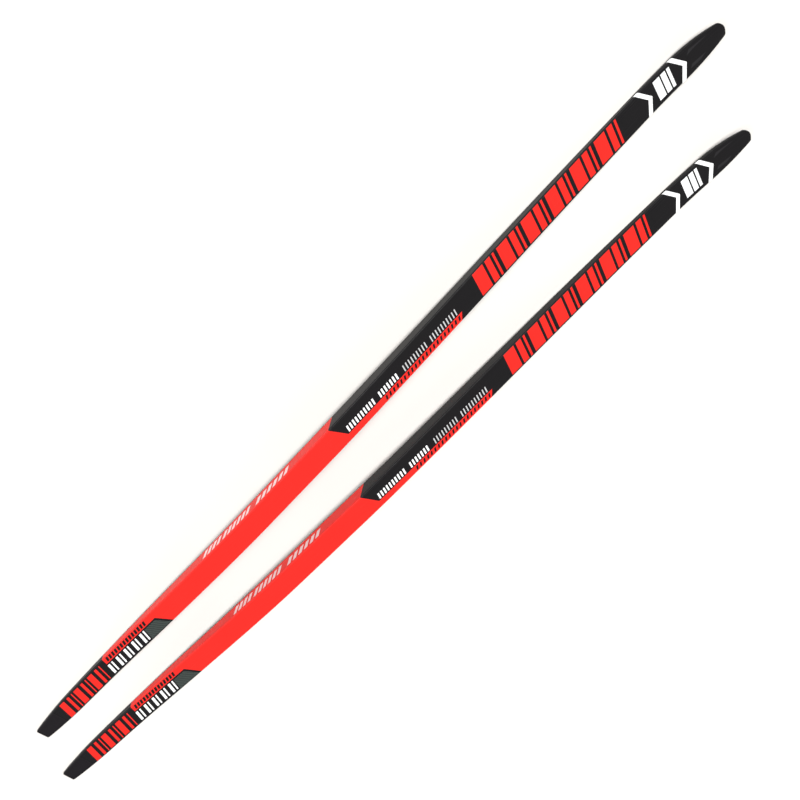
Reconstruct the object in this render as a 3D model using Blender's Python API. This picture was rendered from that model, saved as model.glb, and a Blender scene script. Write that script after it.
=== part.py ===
"""A pair of cross-country skate skis, 1.80 m long, as two glued sandwiches of separate pieces.

World frame: +X towards the tips, +Y to the left, +Z up, and z = 0 is the surface the skis lie on.
Each ski is modelled along its own X axis under an empty, which places and turns it.
A place along a ski is a share of its length, 0 at the tail end and 1 at the tip.
Heights inside a ski are measured up from its running surface.
"""

import math

import bmesh
import bpy

MM = 0.001
GLUE_GAP = 0.3 * MM

# Driving dimensions of one ski.
LENGTH = 1.800
SHOVEL_START = 0.945
SHOVEL_WIDTH = 48.4 * MM
NOSE_WIDTH = 25.0 * MM
NOSE_BOW = 4.2 * MM
NOSE_BOW_PART = 0.8
NOSE_BOW_START = 0.96
NOSE_CORNER = 3.0 * MM
TIP_RISE = 22.0 * MM
TIP_RISE_START = 0.89

# The camber: an arch between two contact zones, level under the boot.
CAMBER = 16.6 * MM
REAR_CONTACT = 0.06
LEVEL_START = 0.36
LEVEL_END = 0.45
FRONT_CONTACT = 0.86

# Width and thickness at the stations where they change, in millimetres.
WIDTHS = ((0.0, 27.0), (0.015, 33.4), (0.05, 41.6), (0.10, 44.0), (0.20, 46.4), (0.50, 48.4),
          (0.80, 48.8), (0.94, 48.4), (1.0, 48.4))
THICKNESSES = ((0.0, 4.3), (0.10, 10.7), (0.20, 21.0), (0.35, 30.6), (0.45, 30.6), (0.55, 27.6),
               (0.75, 18.8), (0.93, 7.4), (1.0, 4.6))

# Layers, from the running surface up.
BASE = 1.2 * MM
LAMINATE = 0.6 * MM
CAP = 0.8 * MM
PLATE = 1.2 * MM
CAP_CORNER = 2.2 * MM
CAP_CORNER_STEPS = 3
SIDE_LEAN = 0.04
GROOVE_WIDTH = 3.0 * MM
GROOVE_DEPTH = 0.7 * MM
GROOVE_FADE = 0.012
GROOVE_START = 0.055
GROOVE_END = 0.90

# Ends of the pieces, as shares of the length.
TAIL_PROTECTOR_END = 0.030
TAIL_TONGUE_END = 0.058
LAMINATE_START = 0.0605
CORE_START = 0.0605
BLOCK_START = 0.30
BLOCK_END = 0.49
PLATE_START = 0.315
PLATE_END = 0.475
CORE_END = 0.925
UPPER_LAMINATE_END = 0.960
LOWER_LAMINATE_END = 0.985
SEAM = 0.0003

# Where the layers of the nose have points across them, so that they follow its bow.
ACROSS = (1.0, 0.7, 0.3, -0.3, -0.7, -1.0)

# Three core strips and the two air channels between them, across the core from -1 to 1.
STRINGERS = {"right": (-1.0, -0.64), "centre": (-0.18, 0.18), "left": (0.64, 1.0)}

# Heights of the layers that don't change along the ski.
LOWER_LAMINATE_FOOT = BASE + GLUE_GAP
CORE_FOOT = LOWER_LAMINATE_FOOT + LAMINATE + GLUE_GAP
CAVITY_DROP = CAP + GLUE_GAP
CORE_DROP = CAVITY_DROP + LAMINATE + GLUE_GAP

# The pair: each ski is turned out at the tip, and the left one lies a little ahead.
HALF_SPACING = 71.0 * MM
STAGGER = 29.0 * MM
SPLAY = math.radians(1.2)

# Colour, roughness and metallic value of each piece's material.
MATERIALS = {
    "top_sheet": ((0.80, 0.035, 0.025), 0.25, 0.0),
    "base": ((0.012, 0.012, 0.013), 0.45, 0.0),
    "tail_protector": ((0.026, 0.024, 0.026), 0.40, 0.0),
    "tip_insert": ((0.015, 0.015, 0.016), 0.45, 0.0),
    "laminate": ((0.62, 0.66, 0.52), 0.50, 0.0),
    "binding_plate": ((0.45, 0.30, 0.14), 0.55, 0.0),
    "binding_block": ((0.55, 0.38, 0.20), 0.65, 0.0),
    "stringer": ((0.66, 0.50, 0.30), 0.70, 0.0),
}


def curve_through(points, at):
    """The value at one place of a smooth curve through the points, which never overshoots them."""
    gaps = [b[0] - a[0] for a, b in zip(points, points[1:])]
    rises = [(b[1] - a[1]) / gap for a, b, gap in zip(points, points[1:], gaps)]
    slopes = [rises[0]]
    for before, after in zip(rises, rises[1:]):
        same_way = before * after > 0
        slopes.append(2 * before * after / (before + after) if same_way else 0.0)
    slopes.append(rises[-1])
    span = 0
    while span < len(gaps) - 1 and at > points[span + 1][0]:
        span += 1
    gap = gaps[span]
    t = (at - points[span][0]) / gap
    bend = t * t * (3 - 2 * t)
    from_start = slopes[span] * gap * t * (1 - t) ** 2
    from_end = slopes[span + 1] * gap * t * t * (1 - t)
    return points[span][1] * (1 - bend) + points[span + 1][1] * bend + from_start - from_end


def half_width(share):
    """Half the ski's width, with a parabolic shovel and rounded corners at the nose."""
    if share <= SHOVEL_START:
        return curve_through(WIDTHS, share) * MM / 2
    taper = (share - SHOVEL_START) / (1 - SHOVEL_START)
    half = (SHOVEL_WIDTH - (SHOVEL_WIDTH - NOSE_WIDTH) * taper**2) / 2
    into_corner = NOSE_CORNER - (1 - share) * LENGTH
    if into_corner > 0:
        half -= NOSE_CORNER - math.sqrt(NOSE_CORNER**2 - into_corner**2)
    return half


def thickness(share):
    return curve_through(THICKNESSES, share) * MM


def camber(share):
    """Height of the arch over the flat between the contact zones."""
    if share < LEVEL_START:
        run = (share - REAR_CONTACT) / (LEVEL_START - REAR_CONTACT)
    else:
        run = (FRONT_CONTACT - share) / (FRONT_CONTACT - LEVEL_END)
    run = min(1.0, max(0.0, run))
    return CAMBER * (1 - math.cos(math.pi * run)) / 2


def running_height(share):
    """Height of the running surface: camber under the boot, and the upturned tip."""
    upturn = max(0.0, (share - TIP_RISE_START) / (1 - TIP_RISE_START))
    return camber(share) + TIP_RISE * upturn**2


def on_ski(share, across, height):
    """A point of the ski, from its share of the length, its offset across and its height.

    The nose is bowed over the middle part of its width, so that the walls beside it stay parallel.
    """
    bow = max(0.0, (share - NOSE_BOW_START) / (1 - NOSE_BOW_START))
    outward = min(1.0, abs(across) / (NOSE_BOW_PART * half_width(share)))
    along = (share - 0.5) * LENGTH - NOSE_BOW * bow**2 * outward**2
    return (along, across, running_height(share) + height)


def evenly(start, end, step):
    """Shares of the length from start to end, about one step apart."""
    count = round((end - start) / step)
    return [start + (end - start) * i / count for i in range(count + 1)]


# Every piece bends at these shares of the length, so that layers stay parallel. They are closest
# together at the tail, over the upturn and round the nose.
MARKS = (0.0, 0.008, 0.015, 0.030, 0.048, 0.06, 0.08, *evenly(0.10, 0.36, 0.02),
         *evenly(0.45, 0.88, 0.03), *evenly(0.89, 0.98, 0.01), 0.985, 0.99, 0.995, 0.9984,
         0.9992, 0.9998, 1.0)
MARK_CLEARANCE = 0.0001


def stations(start, end):
    """The shared marks between start and end, with the two ends themselves."""
    inside = [mark for mark in MARKS if start + MARK_CLEARANCE < mark < end - MARK_CLEARANCE]
    return [start, *inside, end]


def level(half, height):
    """A level line from one side to the other, as (across, height)."""
    return [(half * part, height) for part in ACROSS]


def arch(half, foot, top, corner, lean):
    """Points from one foot of an arch over its rounded top to the other foot, as (across, height)."""
    corner = min(corner, 0.4 * (top - foot))
    shoulder = half - lean * (top - foot)
    points = [(half, foot)]
    for step in range(CAP_CORNER_STEPS):
        turn = math.pi / 2 * step / CAP_CORNER_STEPS
        across = shoulder - corner * (1 - math.cos(turn))
        points.append((across, top - corner * (1 - math.sin(turn))))
    flat = level(shoulder - corner, top)
    return points + flat + [(-across, height) for across, height in reversed(points)]


def layer(left, right, foot, top):
    """A flat layer's section: a rectangle between two offsets across and two heights."""
    return [(right, foot), (left, foot), (left, top), (right, top)]


def nose_layer(half, foot, top):
    """The section of a flat layer that reaches into the bowed nose."""
    return level(-half, foot) + level(half, top)


def add_loft(ski, piece, material, sections):
    """One closed solid over the sections, each a share of the length and a ring of points."""
    name = f"{ski.name.split('_')[0]}_{piece}"
    shape = bmesh.new()
    rings = []
    for share, ring in sections:
        rings.append([shape.verts.new(on_ski(share, *point)) for point in ring])
    for near, far in zip(rings, rings[1:]):
        for here in range(len(near)):
            after = (here + 1) % len(near)
            shape.faces.new((near[here], near[after], far[after], far[here]))
    shape.faces.new(rings[0])
    shape.faces.new(rings[-1])
    bmesh.ops.recalc_face_normals(shape, faces=shape.faces)
    if shape.calc_volume(signed=True) < 0:
        bmesh.ops.reverse_faces(shape, faces=shape.faces)
    mesh = bpy.data.meshes.new(name)
    shape.to_mesh(mesh)
    shape.free()
    mesh.shade_smooth()
    mesh.set_sharp_from_angle(angle=math.radians(35))
    mesh.materials.append(material)
    obj = bpy.data.objects.new(name, mesh)
    obj.parent = ski
    ski.users_collection[0].objects.link(obj)
    return obj


def add_base(ski, material):
    """The running base, with a groove along its middle that fades out at both ends."""
    sections = []
    fades = [GROOVE_START, GROOVE_START + GROOVE_FADE, GROOVE_END - GROOVE_FADE, GROOVE_END]
    for share in sorted({*stations(0.0, 1.0), *fades}):
        fade_in = (share - GROOVE_START) / GROOVE_FADE
        fade_out = (GROOVE_END - share) / GROOVE_FADE
        depth = GROOVE_DEPTH * max(0.0, min(1.0, fade_in, fade_out))
        half = half_width(share)
        mouth = GROOVE_WIDTH / 2
        floor = mouth - 0.4 * MM
        ring = [(-half, 0.0), (-mouth, 0.0), (-floor, depth), (floor, depth), (mouth, 0.0),
                (half, 0.0), *level(half, BASE)]
        sections.append((share, ring))
    add_loft(ski, "base", material, sections)


def outer_arch(share):
    """The ski's outside above the base."""
    foot = BASE + GLUE_GAP
    return arch(half_width(share), foot, thickness(share), CAP_CORNER, SIDE_LEAN)


def add_top_sheet(ski, material):
    """The cap: one sheet over the top and down both sides, open underneath and at its ends."""
    sections = []
    for share in stations(TAIL_PROTECTOR_END + SEAM, 1.0):
        inner = arch(half_width(share) - CAP, BASE + GLUE_GAP, thickness(share) - CAP,
                     CAP_CORNER - CAP, SIDE_LEAN)
        sections.append((share, outer_arch(share) + inner[::-1]))
    add_loft(ski, "top_sheet", material, sections)


def cavity_half(share):
    """Half the room between the cap's side walls, at the level of the core's top."""
    return half_width(share) - CAVITY_DROP - SIDE_LEAN * thickness(share)


def add_tail_protector(ski, material):
    """The moulded tail end, with a tongue that runs forward between the laminates."""
    sections = [(share, outer_arch(share)) for share in stations(0.0, TAIL_PROTECTOR_END)]
    for share in stations(TAIL_PROTECTOR_END + SEAM, TAIL_TONGUE_END):
        half = cavity_half(share)
        top = thickness(share) - CAVITY_DROP
        sections.append((share, arch(half, CORE_FOOT, top, CAP_CORNER / 2, 0.0)))
    add_loft(ski, "tail_protector", material, sections)


def add_tip_insert(ski, material):
    """The moulded spacer between cap and base in the shovel, thickest where it shows at the nose."""
    marks = stations(CORE_END + SEAM, UPPER_LAMINATE_END + SEAM)
    marks += stations(UPPER_LAMINATE_END + 2 * SEAM, LOWER_LAMINATE_END + SEAM)
    marks += stations(LOWER_LAMINATE_END + 2 * SEAM, 1.0)
    sections = []
    for share in marks:
        half = cavity_half(share) - CAP_CORNER / 4
        foot = CORE_FOOT if share <= LOWER_LAMINATE_END + SEAM else LOWER_LAMINATE_FOOT
        drop = CORE_DROP if share <= UPPER_LAMINATE_END + SEAM else CAVITY_DROP
        sections.append((share, nose_layer(half, foot, thickness(share) - drop)))
    add_loft(ski, "tip_insert", material, sections)


def add_laminates(ski, material):
    """The two glass-fibre layers that carry the bending load, above and below the core."""
    lower = []
    for share in stations(LAMINATE_START, LOWER_LAMINATE_END):
        half = cavity_half(share)
        foot = LOWER_LAMINATE_FOOT
        lower.append((share, nose_layer(half, foot, foot + LAMINATE)))
    add_loft(ski, "lower_laminate", material, lower)
    upper = []
    for share in stations(LAMINATE_START, UPPER_LAMINATE_END):
        half = cavity_half(share) - CAP_CORNER / 4
        top = thickness(share) - CAVITY_DROP
        upper.append((share, layer(half, -half, top - LAMINATE, top)))
    add_loft(ski, "upper_laminate", material, upper)


def add_stringers(ski, material, part, start, end):
    """Three wood strips side by side, with an air channel between each two."""
    for side, (inner, outer) in STRINGERS.items():
        sections = []
        for share in stations(start, end):
            half = cavity_half(share)
            top = thickness(share) - CORE_DROP
            ring = layer(half * outer, half * inner, CORE_FOOT, top)
            sections.append((share, ring))
        add_loft(ski, f"{part}_stringer_{side}", material, sections)


def add_binding_zone(ski, block_material, plate_material):
    """The hardwood block under the boot, and the screw plate let into its top."""
    step_down = PLATE + GLUE_GAP
    marks = stations(BLOCK_START + SEAM, PLATE_START - SEAM)
    recess = stations(PLATE_START, PLATE_END)
    ahead = stations(PLATE_END + SEAM, BLOCK_END - SEAM)
    block = []
    for share in marks + recess + ahead:
        half = cavity_half(share)
        top = thickness(share) - CORE_DROP - (step_down if share in recess else 0.0)
        block.append((share, layer(half, -half, CORE_FOOT, top)))
    add_loft(ski, "binding_block", block_material, block)
    plate = []
    for share in stations(PLATE_START + SEAM, PLATE_END - SEAM):
        half = cavity_half(share) - CAP_CORNER / 2
        top = thickness(share) - CORE_DROP
        plate.append((share, layer(half, -half, top - PLATE, top)))
    add_loft(ski, "binding_plate", plate_material, plate)


def add_ski(name, x, y, turn, collection, materials):
    """One whole ski under an empty that places it."""
    ski = bpy.data.objects.new(name, None)
    collection.objects.link(ski)
    ski.location = (x, y, 0.0)
    ski.rotation_euler = (0.0, 0.0, turn)
    add_base(ski, materials["base"])
    add_top_sheet(ski, materials["top_sheet"])
    add_tail_protector(ski, materials["tail_protector"])
    add_tip_insert(ski, materials["tip_insert"])
    add_laminates(ski, materials["laminate"])
    add_stringers(ski, materials["stringer"], "rear", CORE_START, BLOCK_START)
    add_binding_zone(ski, materials["binding_block"], materials["binding_plate"])
    add_stringers(ski, materials["stringer"], "front", BLOCK_END, CORE_END)


def add_material(name, colour, roughness, metallic):
    material = bpy.data.materials.new(name)
    material.use_nodes = True
    shader = material.node_tree.nodes["Principled BSDF"]
    shader.inputs["Base Color"].default_value = (*colour, 1.0)
    shader.inputs["Roughness"].default_value = roughness
    shader.inputs["Metallic"].default_value = metallic
    return material


def main():
    for old in list(bpy.data.objects):
        bpy.data.objects.remove(old)
    collection = bpy.data.collections.new("skate_skis")
    bpy.context.scene.collection.children.link(collection)
    materials = {name: add_material(name, *looks) for name, looks in MATERIALS.items()}
    add_ski("left_ski", STAGGER, HALF_SPACING, SPLAY, collection, materials)
    add_ski("right_ski", -STAGGER, -HALF_SPACING, -SPLAY, collection, materials)


main()
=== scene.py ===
"""Looks of the pair of skate skis: fine printed shells over the CAD frame, their materials, the
light and the camera."""

import math

import bmesh
import bpy
from mathutils import Matrix, Quaternion, Vector
from mathutils.geometry import delaunay_2d_cdt


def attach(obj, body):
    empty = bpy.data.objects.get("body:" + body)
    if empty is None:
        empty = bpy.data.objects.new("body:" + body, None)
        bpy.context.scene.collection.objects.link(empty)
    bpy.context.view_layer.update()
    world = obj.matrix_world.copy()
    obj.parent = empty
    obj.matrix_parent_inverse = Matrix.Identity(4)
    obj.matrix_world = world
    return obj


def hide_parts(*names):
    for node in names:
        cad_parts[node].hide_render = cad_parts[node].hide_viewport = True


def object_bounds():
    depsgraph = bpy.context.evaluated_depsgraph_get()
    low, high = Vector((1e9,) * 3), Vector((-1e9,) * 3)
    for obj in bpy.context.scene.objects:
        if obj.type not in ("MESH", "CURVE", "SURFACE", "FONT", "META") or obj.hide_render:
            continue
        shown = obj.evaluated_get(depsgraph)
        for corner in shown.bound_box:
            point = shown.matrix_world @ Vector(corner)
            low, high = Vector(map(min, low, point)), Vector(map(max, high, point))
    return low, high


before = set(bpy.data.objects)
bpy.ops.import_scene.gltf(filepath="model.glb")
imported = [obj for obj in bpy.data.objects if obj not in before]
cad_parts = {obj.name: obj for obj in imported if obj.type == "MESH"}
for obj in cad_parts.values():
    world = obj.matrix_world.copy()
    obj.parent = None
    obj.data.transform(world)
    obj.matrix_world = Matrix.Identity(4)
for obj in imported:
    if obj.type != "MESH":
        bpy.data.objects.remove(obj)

CAD_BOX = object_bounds()
MM = 0.001
MICRON = 0.000001

# The ski's shape, as the CAD model has it. A share is a place along the ski, 0 tail to 1 tip, and
# each width and thickness is a share and millimetres.
LENGTH = 1.800
SHOVEL_START = 0.945
SHOVEL_WIDTH = 48.4 * MM
NOSE_WIDTH = 25.0 * MM
NOSE_BOW_START = 0.96
NOSE_CORNER = 3.0 * MM
TIP_RISE = 22.0 * MM
TIP_RISE_START = 0.89
CAMBER = 16.6 * MM
REAR_CONTACT = 0.06
LEVEL_START = 0.36
LEVEL_END = 0.45
FRONT_CONTACT = 0.86
WIDTHS = ((0.0, 27.0), (0.015, 33.4), (0.05, 41.6), (0.10, 44.0), (0.20, 46.4), (0.50, 48.4),
          (0.80, 48.8), (0.94, 48.4), (1.0, 48.4))
THICKNESSES = ((0.0, 4.3), (0.10, 10.7), (0.20, 21.0), (0.35, 30.6), (0.45, 30.6), (0.55, 27.6),
               (0.75, 18.8), (0.93, 7.4), (1.0, 4.6))
BASE = 1.2 * MM
LAMINATE = 0.6 * MM
CAP = 0.8 * MM
CAP_CORNER = 2.2 * MM
CAP_CORNER_PART = 0.4
CORNER_CLEARANCE = CAP_CORNER / 4
SIDE_LEAN = 0.04
GROOVE_WIDTH = 3.0 * MM
GROOVE_DEPTH = 0.7 * MM
GROOVE_FADE = 0.012
GROOVE_START = 0.055
GROOVE_END = 0.90
TAIL_PROTECTOR_END = 0.030
TAIL_TONGUE_END = 0.058
CORE_END = 0.925
UPPER_LAMINATE_END = 0.960
LOWER_LAMINATE_END = 0.985
SEAM = 0.0003
GLUE_GAP = 0.3 * MM
HALF_SPACING = 71.0 * MM
STAGGER = 29.0 * MM
SPLAY = math.radians(1.2)
PLACES = {"left": (STAGGER, HALF_SPACING, SPLAY), "right": (-STAGGER, -HALF_SPACING, -SPLAY)}

# Finer shape, which the CAD model leaves out or keeps simple.
BOND_LINE = 0.1 * MM
CAP_START = TAIL_PROTECTOR_END + BOND_LINE / LENGTH
TAIL_CORNER = 3.2 * MM
TAIL_ROUND = 1.2 * MM
NOSE_ROUND = 1.6 * MM
NOSE_ROUND_TURN = math.radians(60)
NOSE_BOW = 5.0 * MM
BASE_BEVEL = 0.25 * MM
RUB_REACH = 1.5 * MM

# How finely the meshes follow the shape. The parts are of the flat top, of the side and of half
# the width.
MARK_STEP = 6.0 * MM
ROUND_STEPS = 6
GROOVE_STEPS = 5
FLAT_PARTS = (0.0, 0.35, 0.7)
SIDE_PARTS = (0.15, 0.6, 1.0)
WIDTH_PARTS = (0.25, 0.5, 0.7, 0.85)
FLAT_EDGE_STRIP = 0.8 * MM
SMALLEST_EDGE = 0.03 * MM
SHARP_ANGLE = math.radians(40)

# The studio. A tone of the room is a height on its dome and a brightness.
FLOOR_REACH = 30.0
FLOOR_GAP = 0.1 * MM
LIGHT_SPREAD = math.radians(38)
LIGHT_DISTANCE = 4.0
ROOM_TONES = ((0.12, 1.0), (0.45, 0.10))
ROOM_STRENGTH = 1.15
CAMERA_PLACE = (0.20367, 0.56158, 1.25630)
CAMERA_TARGET = (0.08615, 0.01262, 0.0)
CAMERA_ROLL = math.radians(145.98)
CAMERA_LENS = 33.22
CAMERA_SHIFT = (-0.0014, 0.0006)


# ---------------------------------------------------------------- shape of a ski

def curve_through(points, at):
    """The value at one place of a smooth curve through the points, which never overshoots them."""
    gaps = [b[0] - a[0] for a, b in zip(points, points[1:])]
    rises = [(b[1] - a[1]) / gap for a, b, gap in zip(points, points[1:], gaps)]
    slopes = [rises[0]]
    for before, after in zip(rises, rises[1:]):
        same_way = before * after > 0
        slopes.append(2 * before * after / (before + after) if same_way else 0.0)
    slopes.append(rises[-1])
    span = 0
    while span < len(gaps) - 1 and at > points[span + 1][0]:
        span += 1
    gap = gaps[span]
    t = (at - points[span][0]) / gap
    bend = t * t * (3 - 2 * t)
    from_start = slopes[span] * gap * t * (1 - t) ** 2
    from_end = slopes[span + 1] * gap * t * t * (1 - t)
    return points[span][1] * (1 - bend) + points[span + 1][1] * bend + from_start - from_end


def quarter_drop(radius, into):
    """How far a quarter round of that radius has fallen, at a distance into it."""
    into = min(radius, max(0.0, into))
    return radius - math.sqrt(radius**2 - into**2)


def half_width(share):
    """Half the ski's width, with a parabolic shovel and rounded corners at both ends."""
    if share <= SHOVEL_START:
        half = curve_through(WIDTHS, share) * MM / 2
        return half - quarter_drop(TAIL_CORNER, TAIL_CORNER - share * LENGTH)
    taper = (share - SHOVEL_START) / (1 - SHOVEL_START)
    half = (SHOVEL_WIDTH - (SHOVEL_WIDTH - NOSE_WIDTH) * taper**2) / 2
    return half - quarter_drop(NOSE_CORNER, NOSE_CORNER - (1 - share) * LENGTH)


def thickness(share):
    """Height of the top over the running surface, falling in a round edge at both ends."""
    at_tail = quarter_drop(TAIL_ROUND, TAIL_ROUND - share * LENGTH)
    turned = NOSE_ROUND * math.sin(NOSE_ROUND_TURN)
    at_nose = quarter_drop(NOSE_ROUND, turned - (1 - share) * LENGTH)
    return curve_through(THICKNESSES, share) * MM - at_tail - at_nose


def cavity_half(share):
    """Half the width between the cap's two side walls, with a gap beside each."""
    return half_width(share) - CAP - GLUE_GAP - SIDE_LEAN * thickness(share)


def running_height(share):
    """Height of the running surface: the camber's arch, and the upturned tip."""
    if share < LEVEL_START:
        run = (share - REAR_CONTACT) / (LEVEL_START - REAR_CONTACT)
    else:
        run = (FRONT_CONTACT - share) / (FRONT_CONTACT - LEVEL_END)
    run = min(1.0, max(0.0, run))
    upturn = max(0.0, (share - TIP_RISE_START) / (1 - TIP_RISE_START))
    return CAMBER * (1 - math.cos(math.pi * run)) / 2 + TIP_RISE * upturn**2


def on_ski(share, across, height):
    """A point of the ski, from its share of the length, its offset across and its height."""
    bow = max(0.0, (share - NOSE_BOW_START) / (1 - NOSE_BOW_START))
    along = (share - 0.5) * LENGTH
    along -= NOSE_BOW * bow**2 * (across / half_width(share)) ** 2
    return Vector((along, across, running_height(share) + height))


def marks(start, end):
    """Shares of the length from start to end, closest together round the two ends."""
    count = round((end - start) * LENGTH / MARK_STEP)
    shares = {start + (end - start) * i / count for i in range(count + 1)}
    for step in range(ROUND_STEPS + 1):
        left = 1 - math.sin(math.pi / 2 * step / ROUND_STEPS)
        near_ends = (TAIL_CORNER * left / LENGTH, TAIL_ROUND * left / LENGTH,
                     1 - NOSE_CORNER * left / LENGTH, 1 - NOSE_ROUND * left / LENGTH)
        shares.update(share for share in near_ends if start < share < end)
    kept = [start]
    for share in sorted(shares):
        if share - kept[-1] > BOND_LINE / LENGTH:
            kept.append(share)
    kept[-1] = end
    return kept


class Section:
    """The cap's outline at one share: flat top, a round corner and a leaning side, mirrored."""

    def __init__(self, share):
        self.foot = BASE + BOND_LINE
        self.top = thickness(share)
        self.half = half_width(share)
        rise = self.top - self.foot
        self.corner = min(CAP_CORNER, CAP_CORNER_PART * rise)
        self.shoulder = self.half - SIDE_LEAN * rise
        self.flat = self.shoulder - self.corner
        self.arc = self.corner * math.pi / 2
        self.side = math.hypot(self.half - self.shoulder, rise - self.corner)

    def lines(self):
        """Offsets round the outline at which the mesh has an edge line, from foot to foot."""
        ahead = [part * self.flat for part in FLAT_PARTS] + [self.flat - FLAT_EDGE_STRIP]
        ahead += [self.flat + self.arc * step / ROUND_STEPS for step in range(ROUND_STEPS + 1)]
        ahead += [self.flat + self.arc + part * self.side for part in SIDE_PARTS]
        return [-offset for offset in reversed(ahead[1:])] + ahead

    def at(self, offset):
        """Across and height of the place at an offset round the outline."""
        reach = abs(offset)
        if reach <= self.flat:
            across, height = reach, self.top
        elif reach <= self.flat + self.arc:
            turn = (reach - self.flat) / self.corner
            across = self.flat + self.corner * math.sin(turn)
            height = self.top - self.corner * (1 - math.cos(turn))
        else:
            down = (reach - self.flat - self.arc) / self.side
            across = self.shoulder + (self.half - self.shoulder) * down
            height = (self.top - self.corner) * (1 - down) + self.foot * down
        return math.copysign(across, offset), height

    def rub(self, offset):
        """How much a hand or a rack rubs this place: 1 on the corner, 0 away from it."""
        away = abs(abs(offset) - self.flat - self.arc / 2) - self.arc / 2
        return 1 - min(1.0, max(0.0, away / RUB_REACH))


# ---------------------------------------------------------------- the print, in millimetres

def bar(start, end, low, high, lean):
    """A bar across the ski, from start to end along it, whose high side leans ahead."""
    return [(start, low), (end, low), (end + lean, high), (start + lean, high)]


def bar_groups(ink, first, pitch, count, bars, low, high, lean):
    """Groups of bars that repeat along the ski. Each bar is its start in the group and its width."""
    prints = []
    for group in range(count):
        for start, width in bars:
            at = first + group * pitch + start
            prints.append((ink, bar(at, at + width, low, high, lean)))
    return prints


def chevron(ink, point, back, reach, width):
    """Two leaning bars that meet in a point on the ski's middle line."""
    arms = []
    for side in (1, -1):
        arm = [(point - width, 0), (point, 0), (point - back, side * reach),
               (point - back - width, side * reach)]
        arms.append((ink, arm))
    return arms


def anticlockwise(corners):
    """The corners of a polygon in the order that turns left."""
    turn = sum(a[0] * b[1] - b[0] * a[1] for a, b in zip(corners, corners[1:] + corners[:1]))
    return corners if turn > 0 else corners[::-1]


def printed_shapes():
    """Every printed shape of one ski as (ink, corners), later ones over earlier ones, among them two
    streaks of painted highlight on the shovel.
    """
    # Past the foot of either side, for the shapes that run down over it to the base.
    over_side = 70
    shapes = []
    # Tail: red block bars, small white bars, a red band with dark dashes, and the weave panel.
    shapes.append(("weave", [(304, -20), (357, -20), (341, 5), (312, 5)]))
    shapes += bar_groups("red", 65, 41, 3, ((0, 13.0), (20.5, 6.2), (33.5, 2.4)), -18, 17, 10)
    shapes += bar_groups("white", 196, 23, 5, ((0, 5.8), (10.4, 3.5)), -17, 5, 7)
    shapes.append(("red", [(205, 8), (350, 8), (350, over_side), (219, over_side)]))
    shapes += bar_groups("black", 211, 8.2, 14, ((0, 5.3),), 10, 19.5, 4)
    # Middle: the long red zone, with pale slanted marks on the left side.
    shapes.append(("red", [(345, 8), (362, -20), (385, -over_side), (833, -over_side), (833, 40),
                           (345, 40)]))
    shapes.append(("red", [(345, over_side), (345, 8), (834, 8), (834, 22), (864, over_side)]))
    shapes.append(("red", [(820, -over_side), (820, 22), (834, 22), (853, -10.5),
                           (853, -over_side)]))
    shapes += bar_groups("pale", 498, 12.5, 4, ((0, 7.5),), 26.5, 44, 9)
    shapes += bar_groups("pale", 552, 12.5, 6, ((0, 7.5),), 26.5, 44, 9)
    shapes += bar_groups("pale", 642, 15.0, 6, ((0, 9),), 26.5, 43, 9)
    # Ahead of it: a red strip with dark dashes, white bars and silver bars on black.
    shapes.append(("red", [(850, -10.5), (1150, -10.5), (1140, -22), (1132, -over_side),
                           (850, -over_side)]))
    shapes += bar_groups("black", 944, 9.5, 21, ((0, 4.4),), -20, -12.5, 4)
    shapes += bar_groups("white", 857, 7.3, 10, ((0, 3.7),), -8.5, 3, 3)
    shapes += bar_groups("white", 940, 7.3, 7, ((0, 3.7),), -8.5, 3, 3)
    shapes += bar_groups("silver", 1004, 7.0, 9, ((0, 2.4),), -8.5, 3, 3)
    shapes += bar_groups("silver", 1075, 7.0, 10, ((0, 2.4),), -8.5, 3, 3)
    # Front: six large groups of red bars, then white chevrons with three bars between them.
    shapes += bar_groups("red", 1196, 61.8, 6, ((0, 25.8), (31.3, 12.7), (49.5, 4.6)), -20.5, 21.5, 11)
    shapes += chevron("white", 1644, 18, 26, 9)
    shapes += bar_groups("white", 1651, 0, 1, ((0, 14.5), (17.5, 10), (30.5, 6)), -17, 17, 6)
    shapes += chevron("white", 1722, 18, 26, 9)
    # Shovel: two faint tapered streaks of painted highlight, a lighter black where the upturned shovel
    # would mirror the lights.
    shapes.append(("graphite", [(1727, 8), (1735, 14), (1772, 10.5), (1740, 9.5)]))
    shapes.append(("graphite", [(1722, -14.5), (1727, -9.5), (1756, -11), (1742, -15)]))
    return shapes


# ---------------------------------------------------------------- meshes

def finished(shape, name, inks, place):
    """A bmesh in the ski's own frame as an object of the shared frame."""
    x, y, turn = place
    mesh = bpy.data.meshes.new(name)
    shape.to_mesh(mesh)
    shape.free()
    mesh.transform(Matrix.Translation((x, y, 0.0)) @ Matrix.Rotation(turn, 4, "Z"))
    for ink in inks:
        mesh.materials.append(ink)
    shade(mesh)
    obj = bpy.data.objects.new(name, mesh)
    bpy.context.scene.collection.objects.link(obj)
    return obj


def shade(mesh):
    """Smooth, apart from edges that really are corners."""
    mesh.shade_smooth()
    mesh.set_sharp_from_angle(angle=SHARP_ANGLE)


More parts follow.
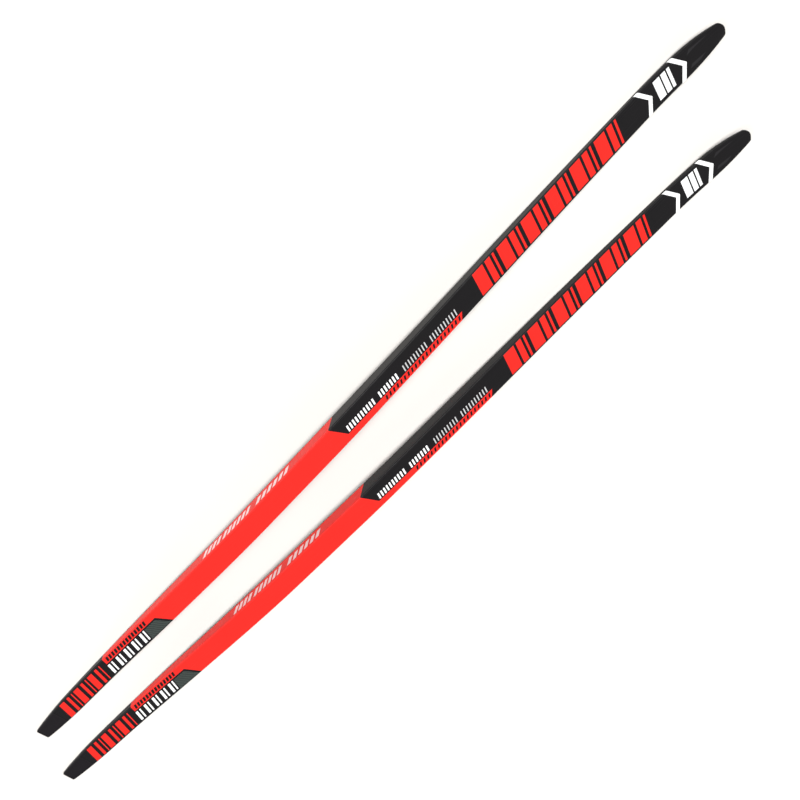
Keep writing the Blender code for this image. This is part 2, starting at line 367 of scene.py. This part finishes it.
def printed_sheet():
    """The flat print cut into the cap's grid, as flat points in mm, faces and an ink per face."""
    shares = marks(CAP_START, 1.0)
    points = []
    for share in shares:
        points += [Vector((share * LENGTH, offset)) / MM for offset in Section(share).lines()]
    row = len(points) // len(shares)
    outlines = []
    for step in range(len(shares) - 1):
        for line in range(row - 1):
            corner = step * row + line
            outlines.append([corner, corner + row, corner + row + 1, corner + 1])
    cells = len(outlines)
    shapes = printed_shapes()
    for ink, corners in shapes:
        outlines.append(list(range(len(points), len(points) + len(corners))))
        points += [Vector(corner) for corner in anticlockwise(corners)]
    as_whole_faces = 4
    closeness = 1e-4
    cut = delaunay_2d_cdt(points, [], outlines, as_whole_faces, closeness, True)
    flat_points, faces, sources = cut[0], cut[2], cut[5]
    kept = []
    for face, found in zip(faces, sources):
        if found and min(found) < cells:
            ink = max(found)
            kept.append((face, shapes[ink - cells][0] if ink >= cells else "black"))
    return flat_points, kept


def add_cap(name, inks, place):
    """The printed cap: a thin shell over the top and down both sides."""
    flat_points, faces = printed_sheet()
    order = list(inks)
    shape = bmesh.new()
    flat_layer = shape.loops.layers.uv.new("flat")
    rub_layer = shape.verts.layers.float.new("rub")
    made = {}
    for face, ink in faces:
        corners = []
        for index in face:
            if index not in made:
                along, offset = flat_points[index] * MM
                section = Section(along / LENGTH)
                made[index] = shape.verts.new(on_ski(along / LENGTH, *section.at(offset)))
                made[index][rub_layer] = section.rub(offset)
            corners.append(made[index])
        cell = shape.faces.new(corners)
        cell.material_index = order.index(ink)
        for loop, index in zip(cell.loops, face):
            loop[flat_layer].uv = flat_points[index] * MM
    bmesh.ops.dissolve_degenerate(shape, dist=SMALLEST_EDGE, edges=shape.edges)
    shape.normal_update()
    cap = finished(shape, name, inks.values(), place)
    shell = cap.modifiers.new("shell", "SOLIDIFY")
    shell.thickness = CAP
    shell.offset = -1
    depsgraph = bpy.context.evaluated_depsgraph_get()
    mesh = bpy.data.meshes.new_from_object(cap.evaluated_get(depsgraph))
    cap.modifiers.clear()
    cap.data = mesh
    shade(mesh)
    return cap


def across_from(half):
    """Places across the ski from one side to the other, close enough to follow the bowed nose."""
    ahead = [half] + [half * part for part in reversed(WIDTH_PARTS)]
    return ahead + [0.0] + [-place for place in reversed(ahead)]


def add_loft(name, material, sections, place):
    """One closed solid over the sections, each a share of the length and a ring of points."""
    shape = bmesh.new()
    flat_layer = shape.loops.layers.uv.new("flat")
    rings = []
    for share, ring in sections:
        rings.append([shape.verts.new(on_ski(share, *point)) for point in ring])
    for near, far in zip(rings, rings[1:]):
        for here in range(len(near)):
            after = (here + 1) % len(near)
            shape.faces.new((near[here], near[after], far[after], far[here]))
    shape.faces.new(rings[0])
    end = shape.faces.new(rings[-1])
    if sections[-1][0] > NOSE_BOW_START:
        bmesh.ops.triangulate(shape, faces=[end])
    bmesh.ops.recalc_face_normals(shape, faces=shape.faces)
    if shape.calc_volume(signed=True) < 0:
        bmesh.ops.reverse_faces(shape, faces=shape.faces)
    for face in shape.faces:
        for loop in face.loops:
            loop[flat_layer].uv = loop.vert.co.xy
    return finished(shape, name, [material], place)


def tongue_section(share, count):
    """The tongue's square-cornered section, with as many points as the cap's outline has."""
    foot = BASE + LAMINATE + 2 * GLUE_GAP
    top = thickness(share) - CAP - GLUE_GAP
    ring = []
    for point in range(count):
        turn = point / (count - 1)
        outward = math.copysign(min(1.0, abs(4 * turn - 2)), turn - 0.5)
        upward = min(1.0, 4 * min(turn, 1 - turn))
        ring.append((cavity_half(share) * outward, foot + (top - foot) * upward))
    return ring


def add_tail_protector(name, material, place):
    """The moulded tail end, with the tongue that runs forward between the laminates."""
    sections = []
    for share in marks(0.0, TAIL_PROTECTOR_END):
        section = Section(share)
        sections.append((share, [section.at(offset) for offset in section.lines()]))
    count = len(sections[0][1])
    for share in marks(TAIL_PROTECTOR_END + BOND_LINE / LENGTH / 2, TAIL_TONGUE_END):
        sections.append((share, tongue_section(share, count)))
    return add_loft(name, material, sections, place)


def add_base(name, material, place):
    """The running base: ground edges, a centre groove that fades out at both ends."""
    sections = []
    mouth = GROOVE_WIDTH / 2
    for share in marks(0.0, 1.0):
        fade = min(1.0, (share - GROOVE_START) / GROOVE_FADE, (GROOVE_END - share) / GROOVE_FADE)
        depth = GROOVE_DEPTH * max(0.0, fade)
        half = half_width(share)
        right = [(-half, BASE), (-half, BASE_BEVEL), (-half + BASE_BEVEL, 0.0)]
        right += [(-half * part, 0.0) for part in reversed(WIDTH_PARTS)] + [(-mouth, 0.0)]
        for step in range(1, GROOVE_STEPS):
            turn = math.pi / 2 * step / GROOVE_STEPS
            right.append((-mouth * math.cos(turn), depth * math.sin(turn)))
        ring = right + [(0.0, depth)] + [(-across, height) for across, height in reversed(right)]
        ring += [(across, BASE) for across in across_from(half)[1:-1]]
        sections.append((share, ring))
    return add_loft(name, material, sections, place)


def add_tip_insert(name, material, place):
    """The moulded spacer of the shovel, a band between cap and base, clear of the cap's corners."""
    sections = []
    for share in marks(CORE_END + SEAM, 1.0):
        half = cavity_half(share) - CORNER_CLEARANCE
        foot = BASE + GLUE_GAP
        foot += (LAMINATE + GLUE_GAP) * (share <= LOWER_LAMINATE_END + SEAM)
        top = thickness(share) - CAP - GLUE_GAP
        top -= (LAMINATE + GLUE_GAP) * (share <= UPPER_LAMINATE_END + SEAM)
        across = across_from(half)
        ring = [(y, foot) for y in across] + [(y, top) for y in reversed(across)]
        sections.append((share, ring))
    return add_loft(name, material, sections, place)


# ---------------------------------------------------------------- materials

class Finish:
    """One material under construction: adds shader nodes and joins them up. A node's inputs and
    outputs go by name, or by number where several share a name."""

    def __init__(self, name):
        self.material = bpy.data.materials.new(name)
        self.material.use_nodes = True
        self.tree = self.material.node_tree
        self.shader = self.tree.nodes["Principled BSDF"]

    def put(self, node, values):
        """Sets or links a node's inputs, each named or numbered."""
        for key, value in values.items():
            if isinstance(value, bpy.types.NodeSocket):
                self.tree.links.new(value, node.inputs[key])
            else:
                node.inputs[key].default_value = value

    def node(self, kind, values, output=0, **settings):
        """Adds one node and gives back one of its outputs."""
        node = self.tree.nodes.new("ShaderNode" + kind)
        for key, value in settings.items():
            setattr(node, key, value)
        self.put(node, values)
        return node.outputs[output]

    def math(self, operation, *values):
        """The result of a sum on values or outputs."""
        return self.node("Math", dict(enumerate(values)), operation=operation)

    def mix(self, factor, first, second):
        """A colour between two others."""
        return self.node("Mix", {0: factor, 6: first, 7: second}, 2, data_type="RGBA")

    def span(self, value, low, high, to_low, to_high):
        """The value moved from one range to another, and held inside it."""
        values = {0: value, 1: low, 2: high, 3: to_low, 4: to_high}
        return self.node("MapRange", values)

    def flat(self, *stretch):
        """The place on the unrolled ski in metres, stretched along and across."""
        uv = self.node("UVMap", {}, uv_map="flat")
        return self.node("Mapping", {"Vector": uv, "Scale": (*stretch, 1.0)})

    def solid(self, *stretch):
        """The place in the object's own solid in metres, stretched along its three axes."""
        place = self.node("TexCoord", {}, "Object")
        return self.node("Mapping", {"Vector": place, "Scale": stretch})

    def noise(self, place, scale, detail=2.0, roughness=0.5):
        """Cloudy noise about 0.5, finer for a larger scale."""
        values = {"Vector": place, "Scale": scale, "Detail": detail, "Roughness": roughness}
        return self.node("TexNoise", values, "Fac")

    def bump(self, height, depth, below=None):
        """A bump of a real depth in metres, over another one."""
        values = {"Height": height, "Distance": depth, "Strength": 1.0}
        if below is not None:
            values["Normal"] = below
        return self.node("Bump", values)

    def done(self, **values):
        """Sets the shader's own sockets, with spaces written as underscores, and ends the work."""
        self.put(self.shader, {key.replace("_", " "): value for key, value in values.items()})
        return self.material


def toned(colour, factor):
    """A darker or lighter tone of a colour, with the opacity that sockets ask for."""
    return (*(min(1.0, part * factor) for part in colour), 1.0)


def lacquered(name, colour):
    """Screen-printed ink under gloss lacquer, faintly uneven, with hairlines and rubbed corners."""
    ink = Finish(name)
    cloud = ink.noise(ink.flat(1, 1), 14.0, 3.0)
    speckle = ink.noise(ink.flat(1, 1), 900.0, 1.0)
    body = ink.mix(cloud, toned(colour, 0.93), toned(colour, 1.05))
    body = ink.mix(ink.math("MULTIPLY", speckle, 0.12), body, toned(colour, 0.80))
    rub = ink.node("Attribute", {}, "Fac", attribute_name="rub")
    worn = ink.span(ink.noise(ink.flat(1, 2.5), 60.0, 6.0, 0.7), 0.55, 0.75, 0.0, 0.15)
    scuffed = tuple(0.75 * part + 0.06 for part in colour)
    body = ink.mix(ink.math("MULTIPLY", rub, worn), body, (*scuffed, 1.0))
    hairline = ink.noise(ink.flat(4, 700), 1.0, 4.0, 0.65)
    gloss = ink.span(hairline, 0.35, 0.75, 0.20, 0.30)
    gloss = ink.math("ADD", gloss, ink.math("MULTIPLY", rub, 0.04))
    peel = ink.bump(ink.noise(ink.flat(1, 1), 320.0, 1.0), 6 * MICRON)
    relief = ink.bump(hairline, 2 * MICRON, peel)
    return ink.done(Base_Color=body, Roughness=gloss, Normal=relief, Specular_IOR_Level=0.12)


def woven_carbon():
    """Two-by-two twill of dark fibre under the same lacquer, with painted sheen: threads lying one way
    are painted lighter than those lying the other, and painted shade darkens the dips between threads.
    """
    weave = Finish("woven_carbon")
    thread = 1.6 * MM
    repeat = 4.0
    along, across = (weave.node("SeparateXYZ", {0: weave.flat(1 / thread, 1 / thread)}, i)
                     for i in (0, 1))
    step = weave.math("ADD", weave.math("FLOOR", along), weave.math("FLOOR", across))
    over = weave.math("LESS_THAN", weave.math("FLOORED_MODULO", step, repeat), repeat / 2)
    wave_along = weave.math("SINE", weave.math("MULTIPLY", across, math.pi))
    wave_across = weave.math("SINE", weave.math("MULTIPLY", along, math.pi))
    along_height = weave.math("ABSOLUTE", wave_along)
    across_height = weave.math("ABSOLUTE", wave_across)
    height = weave.node("Mix", {0: over, 2: across_height, 3: along_height}, 0)
    fibre = weave.noise(weave.flat(1, 1), 4000.0, 2.0)
    # Painted sheen: the threads on top one way are lighter, in place of their different gleam.
    body = weave.mix(over, (0.012, 0.016, 0.014, 1.0), (0.050, 0.062, 0.056, 1.0))
    body = weave.mix(weave.math("MULTIPLY", fibre, 0.4), body, (0.075, 0.09, 0.085, 1.0))
    # Painted shade: darker towards each thread's edges, down in the dips between threads.
    body = weave.mix(weave.span(height, 0.0, 0.5, 0.7, 0.0), body, (0.008, 0.009, 0.009, 1.0))
    relief = weave.bump(height, 40 * MICRON)
    return weave.done(Base_Color=body, Roughness=0.30, Normal=relief, Specular_IOR_Level=0.3)


def moulded_plastic(name, colour, roughness):
    """Satin injection-moulded plastic with a fine spark texture and faint flow marks."""
    plastic = Finish(name)
    flow = plastic.noise(plastic.flat(30, 90), 1.0, 3.0)
    body = plastic.mix(flow, toned(colour, 0.88), toned(colour, 1.12))
    grain = plastic.noise(plastic.flat(1, 1), 2600.0, 2.0)
    gloss = plastic.span(grain, 0.3, 0.7, roughness - 0.06, roughness + 0.06)
    relief = plastic.bump(grain, 12 * MICRON)
    return plastic.done(Base_Color=body, Roughness=gloss, Normal=relief, Specular_IOR_Level=0.2)


def running_base():
    """Graphite-filled sintered polyethylene with a stone-ground structure along the ski."""
    base = Finish("sintered_base")
    grind = base.noise(base.flat(6, 1400), 1.0, 5.0, 0.7)
    cross = base.noise(base.flat(60, 500), 1.0, 2.0)
    body = base.mix(grind, (0.008, 0.008, 0.009, 1.0), (0.022, 0.022, 0.024, 1.0))
    gloss = base.span(grind, 0.3, 0.7, 0.38, 0.58)
    relief = base.bump(cross, 4 * MICRON, base.bump(grind, 10 * MICRON))
    return base.done(Base_Color=body, Roughness=gloss, Normal=relief)


def glass_laminate():
    """Glass-fibre cloth in clear resin: pale green threads along and across."""
    glass = Finish("glass_laminate")
    place = glass.solid(1, 1, 1)
    along = glass.node("TexWave", {"Vector": place, "Scale": 180.0, "Distortion": 0.6}, "Fac",
                       bands_direction="X")
    across = glass.node("TexWave", {"Vector": place, "Scale": 260.0, "Distortion": 0.6}, "Fac",
                        bands_direction="Y")
    threads = glass.math("MAXIMUM", along, across)
    body = glass.mix(threads, (0.30, 0.36, 0.26, 1.0), (0.62, 0.68, 0.54, 1.0))
    relief = glass.bump(threads, 30 * MICRON)
    return glass.done(Base_Color=body, Roughness=0.35, Normal=relief)


def fibre_plate():
    """Pressed resin-bonded fibre sheet, brown and speckled."""
    plate = Finish("fibre_plate")
    fleck = plate.noise(plate.solid(1, 3, 3), 420.0, 4.0, 0.7)
    body = plate.mix(fleck, (0.20, 0.10, 0.045, 1.0), (0.52, 0.34, 0.18, 1.0))
    relief = plate.bump(fleck, 40 * MICRON)
    return plate.done(Base_Color=body, Roughness=0.55, Normal=relief)


def wood(name, light, dark, ring, pore):
    """Straight-grained wood, its growth rings running along the ski."""
    timber = Finish(name)
    drift = timber.noise(timber.solid(3, 40, 40), 1.0, 3.0)
    place = timber.solid(0.05, 1, 1)
    rings = timber.node("TexWave", {"Vector": place, "Scale": ring, "Distortion": 3.5,
                                    "Detail": 2.0, "Detail Scale": 1.5}, "Fac",
                        bands_direction="DIAGONAL")
    pores = timber.noise(timber.solid(8, 1, 1), pore, 3.0, 0.7)
    grain = timber.math("MULTIPLY_ADD", pores, 0.35, timber.math("MULTIPLY", rings, 0.65))
    body = timber.mix(grain, (*dark, 1.0), (*light, 1.0))
    body = timber.mix(timber.math("MULTIPLY", drift, 0.3), body, toned(light, 0.8))
    relief = timber.bump(pores, 50 * MICRON)
    gloss = timber.span(grain, 0.0, 1.0, 0.72, 0.58)
    return timber.done(Base_Color=body, Roughness=gloss, Normal=relief)


def pale_floor():
    """A matt pale studio floor."""
    floor = Finish("studio_floor")
    tone = floor.noise(floor.solid(1, 1, 1), 3.0, 2.0)
    body = floor.mix(tone, (0.690, 0.669, 0.637, 1.0), (0.705, 0.684, 0.652, 1.0))
    return floor.done(Base_Color=body, Roughness=0.9, Specular_IOR_Level=0.1)


# ---------------------------------------------------------------- floor, light and camera

def add_floor():
    """A wide plain floor under the skis."""
    shape = bmesh.new()
    bmesh.ops.create_grid(shape, x_segments=8, y_segments=8, size=FLOOR_REACH)
    mesh = bpy.data.meshes.new("studio_floor")
    shape.to_mesh(mesh)
    shape.free()
    floor = bpy.data.objects.new("studio_floor", mesh)
    floor.location.z = CAD_BOX[0][2] - FLOOR_GAP
    mesh.materials.append(pale_floor())
    bpy.context.scene.collection.objects.link(floor)


def aim(obj, place, target, roll=0.0):
    """Puts an object at a place, looking at a target, turned by roll about its line of sight."""
    obj.location = place
    away = Vector(place) - Vector(target)
    obj.rotation_mode = "QUATERNION"
    obj.rotation_quaternion = away.to_track_quat("Z", "Y") @ Quaternion((0, 0, 1), roll)
    bpy.context.scene.collection.objects.link(obj)


def add_soft_light(name, azimuth, elevation, strength):
    """A broad distant light, as soft as a large panel. Its azimuth and elevation are in degrees."""
    light = bpy.data.lights.new(name, "SUN")
    light.angle = LIGHT_SPREAD
    light.energy = strength
    turn, lift = math.radians(azimuth), math.radians(elevation)
    place = Vector((math.cos(lift) * math.cos(turn), math.cos(lift) * math.sin(turn),
                    math.sin(lift)))
    aim(bpy.data.objects.new(name, light), LIGHT_DISTANCE * place, (0, 0, 0))


def add_lights():
    """Soft light from the left, the tips, the tails and low on the right."""
    add_soft_light("main_light", 90, 73, 2.75)
    add_soft_light("tip_light", 15, 50, 1.05)
    add_soft_light("tail_light", 160, 46, 1.05)
    add_soft_light("fill_light", -70, 26, 0.6)


def add_room():
    """A room that is white low down and dim overhead, so that the flat tops mirror little light."""
    world = bpy.data.worlds.new("studio_room")
    world.use_nodes = True
    tree = world.node_tree
    place = tree.nodes.new("ShaderNodeTexCoord")
    split = tree.nodes.new("ShaderNodeSeparateXYZ")
    ramp = tree.nodes.new("ShaderNodeValToRGB")
    for stop, (height, tone) in zip(ramp.color_ramp.elements, ROOM_TONES):
        stop.position = height
        stop.color = (tone, tone, tone, 1.0)
    tree.links.new(place.outputs["Generated"], split.inputs[0])
    tree.links.new(split.outputs["Z"], ramp.inputs[0])
    tree.links.new(ramp.outputs[0], tree.nodes["Background"].inputs["Color"])
    tree.nodes["Background"].inputs["Strength"].default_value = ROOM_STRENGTH
    bpy.context.scene.world = world
    bpy.context.scene.view_settings.view_transform = "Standard"


def add_camera():
    """Looks down from the tips' end and the left, turned so that the tips point up and right."""
    camera = bpy.data.cameras.new("camera")
    camera.lens = CAMERA_LENS
    camera.sensor_width = 36.0
    camera.shift_x, camera.shift_y = CAMERA_SHIFT
    camera.clip_end = 100.0
    eye = bpy.data.objects.new("camera", camera)
    aim(eye, CAMERA_PLACE, CAMERA_TARGET, CAMERA_ROLL)
    bpy.context.scene.camera = eye


# ---------------------------------------------------------------- the two skis

INNER_FINISHES = {
    "laminate": ("upper_laminate", "lower_laminate"),
    "plate": ("binding_plate",),
    "hardwood": ("binding_block",),
    "stringer": ("front_stringer_left", "front_stringer_centre", "front_stringer_right",
                 "rear_stringer_left", "rear_stringer_centre", "rear_stringer_right"),
}


def add_skis():
    """Puts the finer pieces in their places on both skis, and gives the inner ones their looks."""
    inks = {
        "black": lacquered("black_lacquer", (0.0119, 0.0112, 0.0119)),
        "red": lacquered("red_print", (0.72, 0.0240, 0.0183)),
        "white": lacquered("white_print", (0.86, 0.86, 0.86)),
        # Painted highlight: a black a little lighter than the lacquer, for the streaks on the shovel.
        "graphite": lacquered("painted_highlight_print", (0.0230, 0.0220, 0.0235)),
        "silver": lacquered("silver_print", (0.50, 0.50, 0.50)),
        "pale": lacquered("pale_print", (0.82, 0.60, 0.60)),
        "weave": woven_carbon(),
    }
    plastic = moulded_plastic("tail_plastic", (0.009, 0.0075, 0.009), 0.34)
    spacer = moulded_plastic("spacer_plastic", (0.012, 0.012, 0.013), 0.50)
    base = running_base()
    inner = {
        "laminate": glass_laminate(),
        "plate": fibre_plate(),
        "hardwood": wood("hardwood", (0.62, 0.42, 0.23), (0.40, 0.23, 0.11), 160.0, 900.0),
        "stringer": wood("core_wood", (0.74, 0.58, 0.36), (0.56, 0.38, 0.20), 110.0, 600.0),
    }
    for side, place in PLACES.items():
        body = f"{side}_ski"
        shown = (
            (add_cap(f"{side}_printed_cap", inks, place), "top_sheet", "top_sheet"),
            (add_base(f"{side}_running_base", base, place), "base", "running_base"),
            (add_tail_protector(f"{side}_tail_cap", plastic, place), "tail_protector",
             "end_plastic"),
            (add_tip_insert(f"{side}_nose_spacer", spacer, place), "tip_insert", "end_plastic"),
        )
        for piece, node, slot in shown:
            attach(piece, body)
            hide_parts(f"{side}_{node}")
        for finish, nodes in INNER_FINISHES.items():
            for node in nodes:
                for material_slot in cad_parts[f"{side}_{node}"].material_slots:
                    material_slot.material = inner[finish]


add_camera()
add_lights()
add_room()
add_floor()
add_skis()
